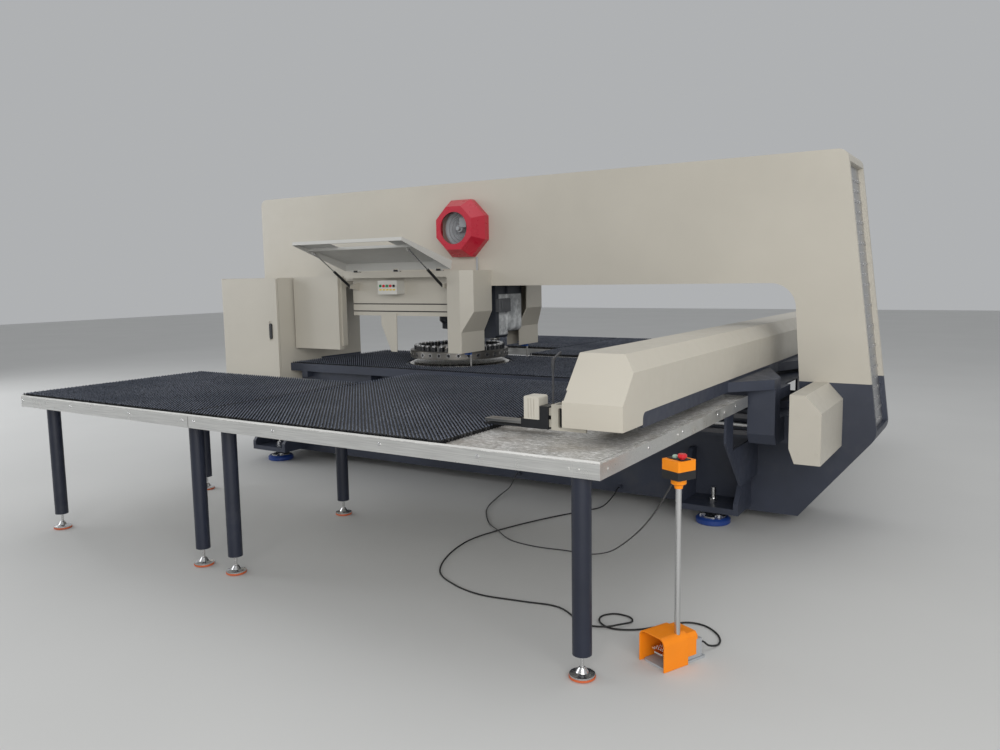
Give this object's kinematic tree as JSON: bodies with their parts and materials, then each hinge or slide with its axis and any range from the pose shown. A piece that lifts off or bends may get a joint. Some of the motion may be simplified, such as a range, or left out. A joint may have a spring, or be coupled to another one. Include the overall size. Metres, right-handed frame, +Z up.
{
  "type": "cnc turret punch press",
  "caption": "O-frame turret punch press with a two-disc tool turret, brush tables, a sliding clamp beam, a lift-up guard lid and a foot-switch station.",
  "frame": {"origin": "on the floor below the middle of the overall box", "axes": "+X along the O-frame towards its leaning end, +Y along the clamp beam towards the rear, +Z up"},
  "size_m": [4.9354, 5.326, 2.214],
  "materials": {
    "cream_paint": "satin",
    "dark_paint": "satin",
    "ribbed_panel": "brushed",
    "pad_blue": "gloss",
    "bright_steel": "polished",
    "crimson_paint": "gloss",
    "machined_steel": "machined",
    "grey_casting": "rough",
    "black_steel": "satin",
    "sensor_blue": "satin",
    "box_plastic": "matte",
    "button_green": "gloss",
    "button_red": "gloss",
    "button_black": "gloss",
    "bristles": "matte",
    "table_steel": "brushed",
    "leg_navy": "satin",
    "ring_orange": "matte",
    "orange_plastic": "satin",
    "black_plastic": "matte",
    "start_green": "gloss",
    "cable_black": "matte",
    "cable_grey": "matte",
    "clamp_cream": "satin"
  },
  "bodies": {
    "machine": {"frame_bridge": "cream_paint", "frame_base": "dark_paint", "end_panel": "ribbed_panel", "machine_pads": "pad_blue", "levelling_studs": "bright_steel", "ram_cover": "crimson_paint", "ram_drive": "grey_casting", "turret_castings": "grey_casting", "side_covers": "cream_paint", "turret_shrouds": "cream_paint", "cross_panels": "cream_paint", "sheet_sensors": "sensor_blue", "button_box": "box_plastic", "lid_hinges": "black_steel", "cabinet_body": "cream_paint", "side_tables": "table_steel", "centre_table": "dark_paint", "brush_mats": "bristles", "table_legs": "leg_navy", "leg_pads": "ring_orange", "base_brackets": "dark_paint", "drive_rails": "bright_steel", "drive_cover": "cream_paint", "station_pole": "bright_steel", "pedal_base": "grey_casting", "pedal_guard": "orange_plastic", "head_lower": "black_plastic", "head_upper": "orange_plastic", "pedal_cable": "cable_black", "head_cable": "cable_grey"},
    "ram": {"ram": "machined_steel"},
    "upper_turret": {"upper_turret": "machined_steel", "punch_holders": "black_steel", "punch_heads": "bright_steel"},
    "lower_turret": {"lower_turret": "machined_steel"},
    "lid": {"lid": "cream_paint"},
    "strut_cylinder_left": {"strut_cylinder_left": "black_steel"},
    "strut_cylinder_right": {"strut_cylinder_right": "black_steel"},
    "strut_rod_left": {"strut_rod_left": "bright_steel"},
    "strut_rod_right": {"strut_rod_right": "bright_steel"},
    "cabinet_door": {"cabinet_door": "cream_paint"},
    "cabinet_handle": {"cabinet_handle": "black_steel"},
    "drive_screw": {"drive_screw": "bright_steel"},
    "beam": {"beam": "dark_paint", "beam_cover": "cream_paint"},
    "carriage": {"clamp_carriage": "grey_casting", "clamp_brackets": "clamp_cream", "clamp_bodies": "black_steel", "clamp_caps": "clamp_cream"},
    "upper_jaw_1": {"upper_jaw_1": "machined_steel"},
    "upper_jaw_2": {"upper_jaw_2": "machined_steel"},
    "upper_jaw_3": {"upper_jaw_3": "machined_steel"},
    "treadle": {"treadle": "bright_steel"},
    "start_button": {"start_button": "start_green"},
    "stop_button": {"stop_button": "button_red"},
    "push_button_1": {"push_button_1": "button_green"},
    "push_button_2": {"push_button_2": "button_red"},
    "push_button_3": {"push_button_3": "button_green"},
    "push_button_4": {"push_button_4": "button_red"},
    "push_button_5": {"push_button_5": "button_black"}
  },
  "joints": [
    {"name": "beam_slide", "type": "slide", "parent": "machine", "child": "beam", "axis": [1, 0, 0], "range_m": [-1.25, 0]},
    {"name": "drive_screw_spin", "type": "hinge", "parent": "machine", "child": "drive_screw", "pos_m": [1.3, -0.446, 0.634], "axis": [1, 0, 0], "continuous": true},
    {"name": "carriage_slide", "type": "slide", "parent": "beam", "child": "carriage", "axis": [0, 1, 0], "range_m": [0, 2.5]},
    {"name": "jaw_1", "type": "hinge", "parent": "carriage", "child": "upper_jaw_1", "pos_m": [1.398, -2.232, 0.9], "axis": [0, -1, 0], "range_deg": [0, 1.6]},
    {"name": "jaw_2", "type": "hinge", "parent": "carriage", "child": "upper_jaw_2", "pos_m": [1.398, -1.432, 0.9], "axis": [0, -1, 0], "range_deg": [0, 1.6]},
    {"name": "jaw_3", "type": "hinge", "parent": "carriage", "child": "upper_jaw_3", "pos_m": [1.398, -0.632, 0.9], "axis": [0, -1, 0], "range_deg": [0, 1.6]},
    {"name": "ram_slide", "type": "slide", "parent": "machine", "child": "ram", "axis": [0, 0, 1], "range_m": [-0.031, 0]},
    {"name": "upper_turret_spin", "type": "hinge", "parent": "machine", "child": "upper_turret", "pos_m": [-0.59, 0, 0.93], "axis": [0, 0, 1], "continuous": true},
    {"name": "lower_turret_spin", "type": "hinge", "parent": "machine", "child": "lower_turret", "pos_m": [-0.59, 0, 0.86], "axis": [0, 0, 1], "continuous": true},
    {"name": "lid_hinge", "type": "hinge", "parent": "machine", "child": "lid", "pos_m": [-0.75, -0.547, 1.585], "axis": [1, 0, 0], "range_deg": [0, 105]},
    {"name": "strut_left_turn", "type": "hinge", "parent": "machine", "child": "strut_cylinder_left", "pos_m": [-1.22, -0.537, 1.47], "axis": [1, 0, 0], "range_deg": [0, 114.8]},
    {"name": "strut_left_slide", "type": "slide", "parent": "strut_cylinder_left", "child": "strut_rod_left", "axis": [0, -0.8267, 0.5626], "range_m": [-0.17533, 0]},
    {"name": "strut_right_turn", "type": "hinge", "parent": "machine", "child": "strut_cylinder_right", "pos_m": [-0.349, -0.537, 1.47], "axis": [1, 0, 0], "range_deg": [0, 114.8]},
    {"name": "strut_right_slide", "type": "slide", "parent": "strut_cylinder_right", "child": "strut_rod_right", "axis": [0, -0.8267, 0.5626], "range_m": [-0.17533, 0]},
    {"name": "door_hinge", "type": "hinge", "parent": "machine", "child": "cabinet_door", "pos_m": [-2.461, -0.711, 1.05], "axis": [0, 0, -1], "range_deg": [0, 120]},
    {"name": "handle_turn", "type": "hinge", "parent": "cabinet_door", "child": "cabinet_handle", "pos_m": [-1.907, -0.72, 1.175], "axis": [0, -1, 0], "range_deg": [0, 90]},
    {"name": "push_button_1_press", "type": "slide", "parent": "machine", "child": "push_button_1", "axis": [0, 1, 0], "range_m": [0, 0.004], "stiffness_N_per_m": 300},
    {"name": "push_button_2_press", "type": "slide", "parent": "machine", "child": "push_button_2", "axis": [0, 1, 0], "range_m": [0, 0.004], "stiffness_N_per_m": 300},
    {"name": "push_button_3_press", "type": "slide", "parent": "machine", "child": "push_button_3", "axis": [0, 1, 0], "range_m": [0, 0.004], "stiffness_N_per_m": 300},
    {"name": "push_button_4_press", "type": "slide", "parent": "machine", "child": "push_button_4", "axis": [0, 1, 0], "range_m": [0, 0.004], "stiffness_N_per_m": 300},
    {"name": "push_button_5_press", "type": "slide", "parent": "machine", "child": "push_button_5", "axis": [0, 1, 0], "range_m": [0, 0.004], "stiffness_N_per_m": 300},
    {"name": "treadle_press", "type": "hinge", "parent": "machine", "child": "treadle", "pos_m": [2.01733, -2.28349, 0.056], "axis": [0.9063, -0.4226, 0], "range_deg": [0, 8], "stiffness_Nm_per_rad": 3},
    {"name": "start_press", "type": "slide", "parent": "machine", "child": "start_button", "axis": [0, 0, -1], "range_m": [0, 0.005], "stiffness_N_per_m": 300},
    {"name": "stop_press", "type": "slide", "parent": "machine", "child": "stop_button", "axis": [0, 0, -1], "range_m": [0, 0.005], "stiffness_N_per_m": 300}
  ],
  "couplings": [
    {"joint": "lower_turret_spin", "follows": "upper_turret_spin", "ratio": 1},
    {"joint": "jaw_2", "follows": "jaw_1", "ratio": 1},
    {"joint": "jaw_3", "follows": "jaw_1", "ratio": 1},
    {"joint": "strut_left_turn", "follows": "lid_hinge", "ratio": 1.0886},
    {"joint": "strut_left_slide", "follows": "lid_hinge", "m_per_rad": -0.095399},
    {"joint": "strut_right_turn", "follows": "lid_hinge", "ratio": 1.0886},
    {"joint": "strut_right_slide", "follows": "lid_hinge", "m_per_rad": -0.095399},
    {"joint": "drive_screw_spin", "follows": "beam_slide", "rad_per_m": 157.08}
  ]
}
